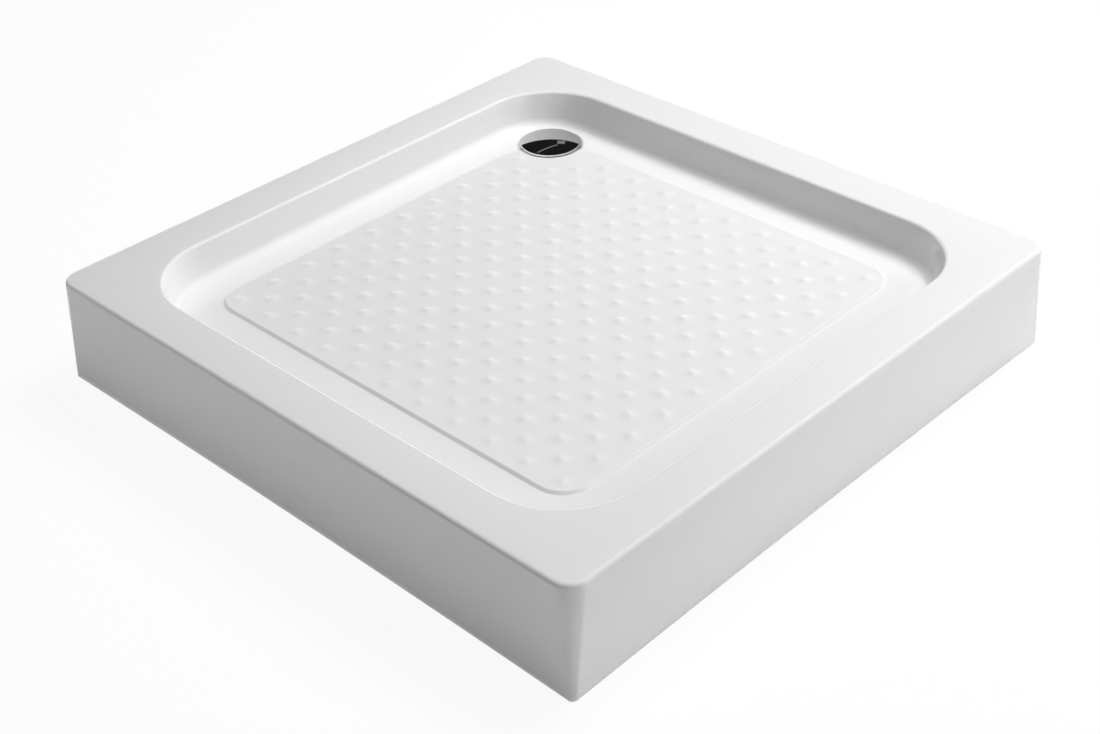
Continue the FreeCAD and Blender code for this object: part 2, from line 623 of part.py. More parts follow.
def make_rail(name, across, x, y, length, holes):
    """A square tube along X or Y, open at both ends, with its stem and screw holes."""
    if across:
        outer = box(name + "_outer", x, y, "rail_under", length, "tube_side", "tube_side")
        inner = box(name + "_inner", x, y, "rail_under + tube_wall", length, "tube_side - 2 * tube_wall",
                    "tube_side - 2 * tube_wall")
    else:
        outer = box(name + "_outer", x, y, "rail_under", "tube_side", length, "tube_side")
        inner = box(name + "_inner", x, y, "rail_under + tube_wall", "tube_side - 2 * tube_wall", length,
                    "tube_side - 2 * tube_wall")
    return cut(name, outer, fuse(name + "_cuts", inner, *holes))


def make_rails(screw_holes):
    """Two side rails and three cross rails; the left rail stops short of the trap."""
    stem_holes = {}
    for name, x, y in FEET:
        stem_holes[name] = cylinder(name + "_stem_hole", "stem_radius + 2 * tube_wall", "rail_under",
                                    "tube_side / 2", x, y)
    left_end = "back_rail_y + tube_side / 2"
    left_start = "-front_rail_y - tube_side / 2"
    cross = "2 * rail_face"
    sides = [screw_holes[0:2] + [screw_holes[10], screw_holes[14], screw_holes[19]],
             screw_holes[2:4] + [screw_holes[13], screw_holes[17], screw_holes[20]]]
    make_rail("left_rail", False, "-rail_offset", "(%s + (%s)) / 2" % (left_end, left_start),
              "%s - (%s)" % (left_end, left_start),
              sides[0] + [stem_holes["front_left"], stem_holes["back_left"]])
    make_rail("right_rail", False, "rail_offset", "(rail_reach + (%s)) / 2" % left_start,
              "rail_reach - (%s)" % left_start,
              sides[1] + [stem_holes["front_right"], stem_holes["back_right"]])
    make_rail("front_rail", True, "0", "-front_rail_y", cross,
              screw_holes[4:6] + [screw_holes[11], screw_holes[12]])
    make_rail("middle_rail", True, "0", "-middle_rail_y", cross,
              screw_holes[6:8] + [screw_holes[15], screw_holes[16], stem_holes["middle"]])
    make_rail("back_rail", True, "0", "back_rail_y", cross,
              screw_holes[8:10] + [screw_holes[18], screw_holes[21], stem_holes["back_middle"]])
    plugs = []
    ends = [("-rail_offset", left_end, 1), ("-rail_offset", left_start, -1),
            ("rail_offset", "rail_reach", 1), ("rail_offset", left_start, -1)]
    for number, (x, y, way) in enumerate(ends):
        cap = box("plug_cap_%d" % number, x, "%s + %d * plug_thick / 2" % (y, way), "rail_under", "tube_side",
                  "plug_thick", "tube_side")
        width = "tube_side - 2 * tube_wall - 2 * plug_fit"
        tongue = box("plug_tongue_%d" % number, x, "%s - %d * plug_depth / 2" % (y, way),
                     "rail_under + tube_wall + plug_fit", width, "plug_depth", width)
        plugs.append(fuse("rail_plug_%d" % number, cap, tongue))
    group("rail_end_plugs", plugs)


# --- Feet ---------------------------------------------------------------------------------------

def hexagon(name, flats, z, height, x, y):
    prism = add("Part::Prism", name, Circumradius="%s / sqrt(3)" % flats, Height=height, place_x=x,
                place_y=y, place_z=z)
    prism.Polygon = 6
    return prism


def make_nut(name, z, height, x, y):
    bore = cylinder(name + "_bore", "stem_radius + thread_fit", z, height, x, y)
    return cut(name, hexagon(name + "_hex", "nut_flats", z, height, x, y), bore)


def make_feet():
    """Each foot: a pad, a stem that screws through a welded nut, and a lock nut under it."""
    welded, locking = [], []
    for name, x, y in FEET:
        base = cylinder(name + "_pad_base", "pad_radius", "0", "pad_floor", x, y)
        cone = add("Part::Cone", name + "_pad_cone", Radius1="pad_radius", Radius2="pad_neck",
                   Height="pad_height - pad_floor", place_x=x, place_y=y, place_z="pad_floor")
        socket = cylinder(name + "_pad_socket", "stem_radius + thread_fit", "pad_floor",
                          "pad_height - pad_floor", x, y)
        cut("foot_pad_" + name, fuse(name + "_pad_form", base, cone), socket)
        rod = cylinder(name + "_rod", "stem_radius", "pad_floor + thread_fit",
                       "stem_top - pad_floor - thread_fit", x, y)
        collar = hexagon(name + "_collar", "wrench_flats", "wrench_z", "wrench_height", x, y)
        fuse("foot_stem_" + name, rod, collar)
        welded.append(make_nut(name + "_weld_nut", "weld_nut_z", "weld_nut_height", x, y))
        locking.append(make_nut(name + "_lock_nut", "lock_nut_z", "lock_nut_height", x, y))
    group("welded_nuts", welded)
    group("lock_nuts", locking)


# --- Waste and trap -----------------------------------------------------------------------------

def waste_cylinder(name, radius, z, top):
    return cylinder(name, radius, z, "%s - (%s)" % (top, z), "waste_x", "waste_y")


def waste_ring(name, outer, inner, z, top):
    return cut(name, waste_cylinder(name + "_disc", outer, z, top),
               waste_cylinder(name + "_bore", inner, z, top))


def make_waste():
    """Seal, chrome flange with its barrel, grate and chrome cover."""
    waste_ring("upper_seal", "upper_seal_outer", "seal_inner", "dish_z", "flange_under")
    plate = waste_cylinder("flange_plate", "flange_radius", "flange_under", "flange_top")
    barrel = waste_cylinder("flange_barrel", "barrel_radius", "barrel_end", "flange_top")
    seat_bore = waste_cylinder("flange_seat_bore", "grate_bore", "grate_z", "flange_top")
    long_bore = waste_cylinder("flange_long_bore", "barrel_bore", "ring_z", "flange_top")
    ledge_bore = waste_cylinder("flange_ledge_bore", "barrel_bore - ledge_width", "barrel_end", "flange_top")
    cut("waste_flange", fuse("flange_form", plate, barrel),
        fuse("flange_bores", seat_bore, long_bore, ledge_bore))

    disc = waste_cylinder("grate_disc", "grate_bore - grate_fit", "grate_z", "grate_z + grate_thick")
    hub = waste_cylinder("grate_hub_form", "grate_hub", "grate_z", "hub_top")
    holes = [waste_cylinder("grate_hub_bore", "spigot_radius + spigot_fit", "grate_z", "hub_top")]
    for circle, count in ((2, 8), (3, 14), (4, 20)):
        for step in range(count):
            angle = 360 * (step + circle / 2) / count
            reach = "(%d * grate_hole * 2.4 - grate_hole)" % circle
            x = "waste_x + %s * %.6f" % (reach, math.cos(math.radians(angle)))
            y = "waste_y + %s * %.6f" % (reach, math.sin(math.radians(angle)))
            holes.append(cylinder("grate_hole_%d_%d" % (circle, step), "grate_hole * 0.8", "grate_z",
                                  "grate_thick", x, y))
    cut("waste_grate", fuse("grate_form", disc, hub), fuse("grate_holes", *holes))

    dome = add("Part::Sphere", "cover_dome", Radius="dome_radius", place_x="waste_x", place_y="waste_y",
               place_z="cover_top - dome_radius")
    hollow = add("Part::Sphere", "cover_hollow", Radius="dome_radius - cover_sheet", place_x="waste_x",
                 place_y="waste_y", place_z="cover_top - dome_radius")
    drum = waste_cylinder("cover_drum", "cover_radius", "cover_edge", "cover_top + cover_sheet")
    cap = doc.addObject("Part::MultiCommon", "cover_cap")
    cap.Shapes = [dome, drum]
    shoulder = waste_cylinder("cover_shoulder", "grate_hub", "hub_top", "cover_top - cover_sheet / 2")
    spigot = waste_cylinder("cover_spigot", "spigot_radius", "hub_top - spigot_length",
                            "cover_top - cover_sheet / 2")
    fuse("waste_cover", cut("cover_sheet_form", cap, hollow), shoulder, spigot)


def make_trap():
    """Lower seal, trap with its side outlet, removable dip tube, union nut and pipe seal."""
    waste_ring("lower_seal", "lower_seal_outer", "seal_inner", "lower_seal_z", "backing_under")
    collar_z = "trap_top - trap_collar"
    flange = waste_cylinder("trap_flange_form", "trap_flange", "trap_top - trap_flange_thick", "trap_top")
    bowl = waste_cylinder("trap_bowl", "trap_radius", "trap_foot", "trap_top")
    outlet = lying(cylinder("trap_outlet_form", "socket_radius", "outlet_height", "outlet_reach", "waste_x",
                            "waste_y"))
    room = waste_cylinder("trap_room", "trap_radius - trap_wall", "trap_foot + trap_wall", collar_z)
    bore = waste_cylinder("trap_bore", "barrel_radius + barrel_fit", "trap_foot + trap_wall", "trap_top")
    way = lying(cylinder("trap_outlet_way", "outlet_bore", "outlet_height", "outlet_reach", "waste_x",
                         "waste_y"))
    socket = lying(cylinder("trap_socket", "socket_bore", "outlet_height", "socket_depth",
                            "outlet_end - socket_depth", "waste_y"))
    cut("trap_body", fuse("trap_form", flange, bowl, outlet), fuse("trap_bores", room, bore, way, socket))

    ring_inner = "barrel_bore - ledge_width + grate_fit"
    waste_ring("dip_tube_seal", "dip_rim_radius", ring_inner, "ring_z", "dip_plate_z")
    plate_top = "dip_plate_z + dip_plate"
    tube = waste_cylinder("dip_tube_form", "dip_radius", "dip_foot", plate_top)
    plate = waste_cylinder("dip_plate_form", "dip_rim_radius", "dip_plate_z", "dip_plate_z + dip_rim")
    pan = waste_cylinder("dip_pan", "dip_rim_radius - dip_wall", plate_top, "dip_plate_z + dip_rim")
    way_down = waste_cylinder("dip_bore", "dip_radius - dip_wall", "dip_foot", "dip_plate_z + dip_rim")
    cup = cut("dip_cup", fuse("dip_form", tube, plate), fuse("dip_bores", pan, way_down))
    grip = box("dip_grip", "waste_x", "waste_y", plate_top, "2 * dip_radius + 2 * dip_wall",
               "2 * dip_wall", "grip_height")
    fuse("dip_tube", cup, grip)

    nut = lying(cylinder("union_form", "union_radius", "outlet_height", "union_length", "union_start",
                         "waste_y"))
    thread = lying(cylinder("union_thread", "socket_radius + union_fit", "outlet_height",
                            "union_length - union_wall", "union_start", "waste_y"))
    mouth = lying(cylinder("union_mouth", "socket_bore + 2 * union_fit", "outlet_height", "union_length",
                           "union_start", "waste_y"))
    cut("union_nut", nut, fuse("union_bores", thread, mouth))
    seal = lying(cylinder("outlet_seal_form", "socket_radius", "outlet_height", "outlet_seal_thick",
                          "outlet_end", "waste_y"))
    hole = lying(cylinder("outlet_seal_hole", "socket_bore + union_fit", "outlet_height", "outlet_seal_thick",
                          "outlet_end", "waste_y"))
    cut("outlet_seal", seal, hole)


# --- Build, check and write ---------------------------------------------------------------------

make_tray_shell()
make_fibreglass_backing()
BOARD_HOLES, RAIL_HOLES = make_frame_fasteners()
make_base_board(BOARD_HOLES)
make_rails(RAIL_HOLES)
make_feet()
make_waste()
make_trap()
doc.recompute()

PIECES = ["tray_shell", "fibreglass_backing", "base_board", "left_rail", "right_rail", "front_rail",
          "middle_rail", "back_rail", "rail_end_plugs", "board_brackets", "board_screws", "corner_brackets",
          "frame_screws", "welded_nuts", "lock_nuts", "upper_seal", "waste_flange", "waste_grate",
          "waste_cover", "lower_seal", "trap_body", "dip_tube", "dip_tube_seal", "union_nut", "outlet_seal"]
for foot_name, foot_x, foot_y in FEET:
    PIECES += ["foot_pad_" + foot_name, "foot_stem_" + foot_name]

for thing in doc.Objects:
    if "Invalid" in thing.State or "Error" in thing.State:
        raise RuntimeError("not built: " + thing.Name)
for piece in PIECES:
    shape = doc.getObject(piece).Shape
    if shape.isNull() or not shape.isValid():
        raise RuntimeError("not a valid solid: " + piece)

os.makedirs("parts", exist_ok=True)
for piece in PIECES:
    shape = doc.getObject(piece).Shape
    shape.exportStep("parts/%s.step" % piece)
    print("%-24s solids %2d  volume %10.0f mm3" % (piece, len(shape.Solids), shape.Volume))
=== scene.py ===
from math import cos, pi, radians, sin, sqrt, tan

import bpy
import numpy as np
from mathutils import Matrix, Vector


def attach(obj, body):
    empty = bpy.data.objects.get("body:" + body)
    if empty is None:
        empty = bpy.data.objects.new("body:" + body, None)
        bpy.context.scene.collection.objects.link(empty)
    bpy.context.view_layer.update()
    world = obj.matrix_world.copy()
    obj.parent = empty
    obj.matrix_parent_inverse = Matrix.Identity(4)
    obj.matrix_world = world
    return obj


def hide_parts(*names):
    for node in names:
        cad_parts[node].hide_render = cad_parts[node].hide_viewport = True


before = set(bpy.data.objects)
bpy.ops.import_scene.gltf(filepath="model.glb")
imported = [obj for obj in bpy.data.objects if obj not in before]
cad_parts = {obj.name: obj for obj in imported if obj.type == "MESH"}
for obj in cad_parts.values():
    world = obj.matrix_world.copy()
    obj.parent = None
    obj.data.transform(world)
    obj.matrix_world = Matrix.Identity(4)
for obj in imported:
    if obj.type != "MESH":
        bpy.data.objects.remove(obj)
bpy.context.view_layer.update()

# The tray stands on the floor z = 0 with its middle at the origin, and the waste lies in the corner at
# low x and high y. Camera, lamps and floor are in metres. The pieces' sizes are in millimetres, and
# become metres where a mesh is made.


# --- Camera ---------------------------------------------------------------------------------------
# A 58 mm lens that looks down from in front of one corner of the tray, with a small tilt, as the
# photograph was taken. Its place was solved from the outline of the rim and of the skirts' foot.

azimuth, elevation, roll = radians(44.732), radians(34.340), radians(-1.863)
target, distance = Vector((0.00782, -0.02134, 0)), 2.3371
sensor_width, focal_pixels, photo_pixels = 36, 1780.338, 1100
away = Vector((sin(azimuth) * cos(elevation), -cos(azimuth) * cos(elevation), sin(elevation)))
level = Vector((cos(azimuth), sin(azimuth), 0))
upright = away.cross(level)
across = level * cos(roll) + upright * sin(roll)
upward = upright * cos(roll) - level * sin(roll)
camera = bpy.data.objects.new("camera", bpy.data.cameras.new("camera"))
bpy.context.collection.objects.link(camera)
facing = Matrix((across, upward, away)).transposed().to_4x4()
camera.matrix_world = Matrix.Translation(target + away * distance) @ facing
camera.data.sensor_fit = "HORIZONTAL"
camera.data.sensor_width = sensor_width
camera.data.lens = focal_pixels / photo_pixels * sensor_width
camera.data.clip_end = 100
bpy.context.scene.camera = camera
bpy.context.scene.view_settings.view_transform = "Standard"


# --- Studio ---------------------------------------------------------------------------------------
# A white sweep under one wide soft box above and behind the tray, with weak fill from the sides and
# the front. The floor keeps the tray's shadow. Gloss mirrors a dark end of the room behind the tray,
# in which a strip lamp and a small panel lamp hang.

class Wire:
    """The output of a shader node. Arithmetic on it adds Math nodes to its finish."""

    def __init__(self, finish, socket):
        self.finish, self.socket = finish, socket

    def math(self, operation, first, second):
        return self.finish.node("ShaderNodeMath", {"operation": operation}, {0: first, 1: second})

    def __add__(self, other):
        return self.math("ADD", self, other)

    def __mul__(self, other):
        return self.math("MULTIPLY", self, other)

    __radd__, __rmul__ = __add__, __mul__

    def most(self, other):
        """The higher of the two values."""
        return self.math("MAXIMUM", self, other)


class Finish:
    """A material or a world and its nodes."""

    def __init__(self, name, tree=None):
        self.material = None
        if tree is None:
            self.material = bpy.data.materials.new(name)
            self.material.use_nodes = True
            tree = self.material.node_tree
        self.tree = tree
        self.tree.nodes.clear()

    def node(self, kind, settings, sockets, output=0):
        """Any node: its settings first, then the values or links of its sockets."""
        made = self.tree.nodes.new(kind)
        for key, value in settings.items():
            if key == "stops":
                ramp = made.color_ramp
                while len(ramp.elements) < len(value):
                    ramp.elements.new(1)
                for element, (place, colour) in zip(ramp.elements, value):
                    element.position = place
                    element.color = (*(colour if isinstance(colour, tuple) else (colour,) * 3), 1)
            else:
                setattr(made, key, value)
        for key, value in sockets.items():
            if isinstance(value, Wire):
                self.tree.links.new(made.inputs[key], value.socket)
            elif isinstance(value, tuple) and made.inputs[key].type == "RGBA":
                made.inputs[key].default_value = (*value, 1)
            else:
                made.inputs[key].default_value = value
        return Wire(self, made.outputs[output]) if made.outputs else made

    def place(self):
        """Where a point lies on the object, in metres."""
        return self.node("ShaderNodeTexCoord", {}, {}, "Object")

    def noise(self, scale, detail=3, rough=0.5, where=None):
        """Cloudy values round 0.5, with scale lumps to the metre."""
        return self.node("ShaderNodeTexNoise", {}, {"Vector": where or self.place(), "Scale": scale,
                                                    "Detail": detail, "Roughness": rough})

    def stretched(self, turns, scale):
        """The place turned by these degrees about each axis, then multiplied by scale along each."""
        turned = self.node("ShaderNodeMapping", {"vector_type": "POINT"}, {
            "Vector": self.place(), "Rotation": tuple(radians(turn) for turn in turns)})
        return self.node("ShaderNodeVectorMath", {"operation": "MULTIPLY"}, {0: turned, 1: scale})

    def ramp(self, value, *stops):
        """A value through stops of (place, shade or colour)."""
        return self.node("ShaderNodeValToRGB", {"stops": stops}, {0: value})

    def blend(self, share, first, second):
        """From the first colour to the second as share goes from 0 to 1."""
        factor, a, b, result = 0, 6, 7, 2
        return self.node("ShaderNodeMix", {"data_type": "RGBA"},
                         {factor: share, a: first, b: second}, result)

    def bump(self, height, depth, strength=1.0):
        """The surface raised by height times depth in metres."""
        return self.node("ShaderNodeBump", {}, {"Strength": strength, "Distance": depth,
                                                "Height": height})

    def mixed(self, share, first, second):
        """From the first shader to the second as share goes from 0 to 1."""
        return self.node("ShaderNodeMixShader", {}, {0: share, 1: first, 2: second})

    def show(self, shader, kind="Material"):
        """Puts the shader on the output. Gives back the material, or None for a world."""
        self.node("ShaderNodeOutput" + kind, {}, {"Surface": shader})
        return self.material

    def surface(self, **sockets):
        """A Principled shader with these sockets, written with _ for their spaces."""
        named = {key.replace("_", " "): value for key, value in sockets.items()}
        return self.show(self.node("ShaderNodeBsdfPrincipled", {}, named))

    def looked_at(self):
        """1 for what the camera sees, straight or in metal or glass, and 0 for diffuse light."""
        rays = [self.node("ShaderNodeLightPath", {}, {}, ray) for ray in
                ("Is Camera Ray", "Is Glossy Ray", "Is Transmission Ray")]
        return rays[0].most(rays[1]).most(rays[2])


world = bpy.data.worlds.new("studio")
bpy.context.scene.world = world
world.use_nodes = True
sky = Finish("studio", world.node_tree)
# The room looks white to the camera and in the gloss, but nearly all the tray's light is the lamps'.
faint, white, black = [sky.node("ShaderNodeBackground", {}, {"Color": (1, 1, 1), "Strength": strength})
                       for strength in (0.01, 1.0, 0.012)]
bright_room = sky.mixed(sky.looked_at(), faint, white)


def toward(turn, height):
    """The direction at this turn about z and height over the floor, in degrees."""
    turn, height = radians(turn), radians(height)
    return Vector((cos(turn) * cos(height), sin(turn) * cos(height), sin(height)))


# The dark end is a disc round this direction, whose edge fades from 20 to 25 degrees off it.
dark_end, dark_edge, bright_edge = toward(134.5, 40), cos(radians(20)), cos(radians(25))
way = sky.node("ShaderNodeTexCoord", {}, {}, "Generated")
nearness = sky.node("ShaderNodeVectorMath", {"operation": "DOT_PRODUCT"}, {0: way, 1: dark_end},
                    "Value")
in_gloss = sky.node("ShaderNodeLightPath", {}, {}, "Is Glossy Ray")
share = sky.ramp(nearness, (bright_edge, 0.0), (dark_edge, 1.0)) * in_gloss
sky.show(sky.mixed(share, bright_room, black), "World")


def soft_box(name, turn, height, far, size, watts, mirrored=True, tilt=0):
    """A lamp that faces the tray from this direction and this far off, turned by tilt in its own
    plane. One that isn't mirrored stands for light too widely spread to show as a spot in the gloss."""
    middle = toward(turn, height) * far
    lamp = bpy.data.lights.new(name, "AREA")
    lamp.shape = "RECTANGLE"
    lamp.size, lamp.size_y = size
    lamp.energy = watts
    made = bpy.data.objects.new(name, lamp)
    facing = middle.to_track_quat("Z", "Y").to_matrix().to_4x4()
    made.matrix_world = Matrix.Translation(middle) @ facing @ Matrix.Rotation(radians(tilt), 4, "Z")
    made.visible_glossy = mirrored
    made.visible_camera = False
    bpy.context.collection.objects.link(made)


soft_box("lamp_overhead", 79, 60, 2.9, (1.8, 1.4), 89, mirrored=False)
soft_box("lamp_overhead_sheen", 79, 60, 2.9, (1.8, 1.4), 10)
soft_box("lamp_right", 25, 28, 2.9, (1.3, 1.3), 13, mirrored=False)
soft_box("lamp_low_right", 0, 4, 3.5, (1.3, 1.3), 7)
soft_box("lamp_low_left", -135, 9, 2.9, (1.3, 1.3), 3)
soft_box("lamp_front_left", -105, 55, 2.9, (1.6, 1.6), 9, mirrored=False)
soft_box("lamp_front", -45, 9, 2.9, (1.3, 1.3), 2)
soft_box("strip_behind", 135.65, 33.4, 3.3, (0.50, 0.028), 0.013, tilt=45)
soft_box("panel_behind", 131.1, 27.7, 3.3, (0.12, 0.17), 0.015)

paper = Finish("floor_paper")
matt = paper.node("ShaderNodeBsdfDiffuse", {}, {"Color": (0.97, 0.97, 0.97)})
lit = paper.node("ShaderNodeEmission", {}, {"Color": (1, 1, 1), "Strength": 1.0})
# The share of plain white in what is seen of the floor. The rest shows the tray's shadow.
own_white = 0.92
paper.show(paper.mixed(paper.looked_at() * own_white, matt, lit))
floor_mesh = bpy.data.meshes.new("floor")
floor_half, drop = 20, -0.0004
corners = [(x * floor_half, y * floor_half, drop) for x, y in ((-1, -1), (1, -1), (1, 1), (-1, 1))]
floor_mesh.from_pydata(corners, [], [(0, 1, 2, 3)])
floor = bpy.data.objects.new("floor", floor_mesh)
bpy.context.collection.objects.link(floor)
floor_mesh.materials.append(paper.material)


# --- Moulded tray ---------------------------------------------------------------------------------
# One vacuum-formed sheet of glossy white acrylic: skirts on four sides, a flat rim, a basin with
# sloping walls and, raised on its floor, a square tread platform with round studs. It is made here
# as two closed solids that meet in the platform's flat, so that the studs get a fine even grid.

SIDE_STEPS, CORNER_STEPS = 84, 36
LOOP = 4 * (2 * SIDE_STEPS + CORNER_STEPS)
RIM_Z, FLOOR_Z, TREAD_Z, UNDERSIDE_Z = 150.0, 102.0, 106.0, 98.5
# Half sides of the square outlines, from the seam between the two solids out to the skirts.
SEAM, TREAD_TOP, TREAD_FOOT = 250.0, 310.4, 314.8
FLOOR_EDGE, LIP, RIM_EDGE, SKIRT_FOOT = 360.65, 383.5, 448.2, 450.0
RIM_CORNER, FOOT_CORNER = 27, 8
TREAD_MIDDLE, BASIN_MIDDLE, WASTE = (-5.0, 5.0), (2.5, -2.5), (-290.0, 295.0)


def rounded_square(half, corner, z, middle=(0, 0), waste_corner=None, bow=0.0):
    """One loop of points, anticlockwise from the middle of a side: along the side, round a corner of
    that radius and on to the next side's middle. A side is drawn in by bow times 1 - t squared, where
    t goes from 0 at its middle to 1 at its end."""
    parts = []
    run = np.linspace(0, 1, SIDE_STEPS, endpoint=False)[:, None]
    turn = np.linspace(0, pi / 2, CORNER_STEPS, endpoint=False)[:, None]
    for quarter in range(4):
        radius = waste_corner if quarter == 2 and waste_corner is not None else corner
        start = (quarter - 1) * pi / 2
        out = np.array([cos(start), sin(start)])
        ahead = np.array([-sin(start), cos(start)])
        straight = half - radius
        arc = out * np.cos(turn) + ahead * np.sin(turn)
        parts += [out * half + ahead * run * straight - out * bow * (1 - (run * straight / half) ** 2),
                  (out + ahead) * straight + radius * arc - arc * bow * (1 - (straight / half) ** 2),
                  ahead * half + out * (1 - run) * straight
                  - ahead * bow * (1 - ((1 - run) * straight / half) ** 2)]
    flat = np.concatenate(parts) + np.array(middle)
    return np.column_stack([flat, np.full(len(flat), z)])


def seam_square(z):
    """The square where the two solids meet, with as many points as any other loop."""
    run = np.linspace(0, 1, LOOP // 8, endpoint=False)[:, None]
    parts = []
    for quarter in range(4):
        start = (quarter - 1) * pi / 2
        out = np.array([cos(start), sin(start)])
        ahead = np.array([-sin(start), cos(start)])
        parts += [SEAM * (out + ahead * run), SEAM * (ahead + out * (1 - run))]
    flat = np.concatenate(parts) + np.array(TREAD_MIDDLE)
    return np.column_stack([flat, np.full(len(flat), z)])


def tread_loop(half, z):
    """A loop of the platform. Its corners keep their centres, so their radii grow with half."""
    centre, waste_centre = 273.3, 191.3
    return rounded_square(half, half - centre, z, TREAD_MIDDLE, half - waste_centre)


def basin_loop(half, z):
    """A loop of the basin, whose corners keep their centres in the same way."""
    centre = 275.5
    return rounded_square(half, half - centre, z, BASIN_MIDDLE)


def skirt_loop(z, inset):
    """A loop on the skirt: half side and corner radius go evenly from the foot's to the rim's, and the
    side is drawn in by 3.3 times (1 - share of the height) to the power of 1.2, as it has shrunk."""
    share, least_corner, shrinkage = z / RIM_Z, 3.0, 3.3
    half = SKIRT_FOOT + (RIM_EDGE - SKIRT_FOOT) * share - inset
    corner = FOOT_CORNER + (RIM_CORNER - FOOT_CORNER) * share - inset
    return rounded_square(half, max(corner, least_corner), z, bow=shrinkage * (1 - share) ** 1.2)


def between(first, last, shares):
    """Rows between two loops, at these shares of the way."""
    return [first + (last - first) * share for share in shares]


def skin(rows, round_again=False):
    """Quads between the neighbouring rows of a grid of points, with each row closed on itself. With
    round_again the last row meets the first."""
    count, around = rows.shape[:2]
    index = np.arange(count * around).reshape(count, around)
    if round_again:
        index = np.concatenate([index, index[:1]])
    beside = np.roll(index, -1, axis=1)
    return np.stack([index[:-1], index[1:], beside[1:], beside[:-1]], axis=-1).reshape(-1, 4)


def solid(name, points, *faces, sharp=38):
    """Points in millimetres and arrays of faces, each with its own number of corners, as a mesh
    object in metres that is smooth but for edges sharper than this angle."""
    corners = np.concatenate([part.ravel() for part in faces]).astype(np.int32)
    sizes = np.concatenate([np.full(len(part), part.shape[1]) for part in faces])
    mesh = bpy.data.meshes.new(name)
    mesh.vertices.add(len(points))
    mesh.vertices.foreach_set("co", (np.asarray(points, dtype=np.float64) / 1000).ravel())
    mesh.loops.add(len(corners))
    mesh.loops.foreach_set("vertex_index", corners)
    mesh.polygons.add(len(sizes))
    mesh.polygons.foreach_set("loop_start", (np.cumsum(sizes) - sizes).astype(np.int32))
    mesh.update(calc_edges=True)
    mesh.validate()
    mesh.shade_smooth()
    mesh.set_sharp_from_angle(angle=radians(sharp))
    made = bpy.data.objects.new(name, mesh)
    bpy.context.collection.objects.link(made)
    return made


def finished(piece, finish, body, slot, *nodes):
    """Gives a piece its finish, the body that it rides on and the CAD nodes that it stands for."""
    piece.data.materials.clear()
    piece.data.materials.append(finish)
    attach(piece, body)
    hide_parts(*nodes)


def stud_height(x, y):
    """Height of the studs over the platform, on a square lattice along the diagonals, clear of the
    waste. Each is rise times (1 - r squared / foot squared) squared / (1 + r squared / core squared),
    a blunt tip on a flank that runs out slowly."""
    pitch, core, foot, rise = 40.35, 7.0, 19.5, 2.4
    middle_x, most_steps, clearance = -2, 10, 62
    u, v = (x - middle_x + y) / sqrt(2), (y - x + middle_x) / sqrt(2)
    i, j = np.round(u / pitch), np.round(v / pitch)
    centre_x, centre_y = (i - j) * pitch / sqrt(2) + middle_x, (i + j) * pitch / sqrt(2)
    clear = np.hypot(centre_x - WASTE[0], centre_y - WASTE[1]) > clearance
    kept = (np.abs(i) + np.abs(j) <= most_steps) & clear
    squared = (u - i * pitch) ** 2 + (v - j * pitch) ** 2
    flank = np.clip(1 - squared / foot ** 2, 0, 1) ** 2 / (1 + squared / core ** 2)
    return np.where(kept, rise * flank, 0.0)


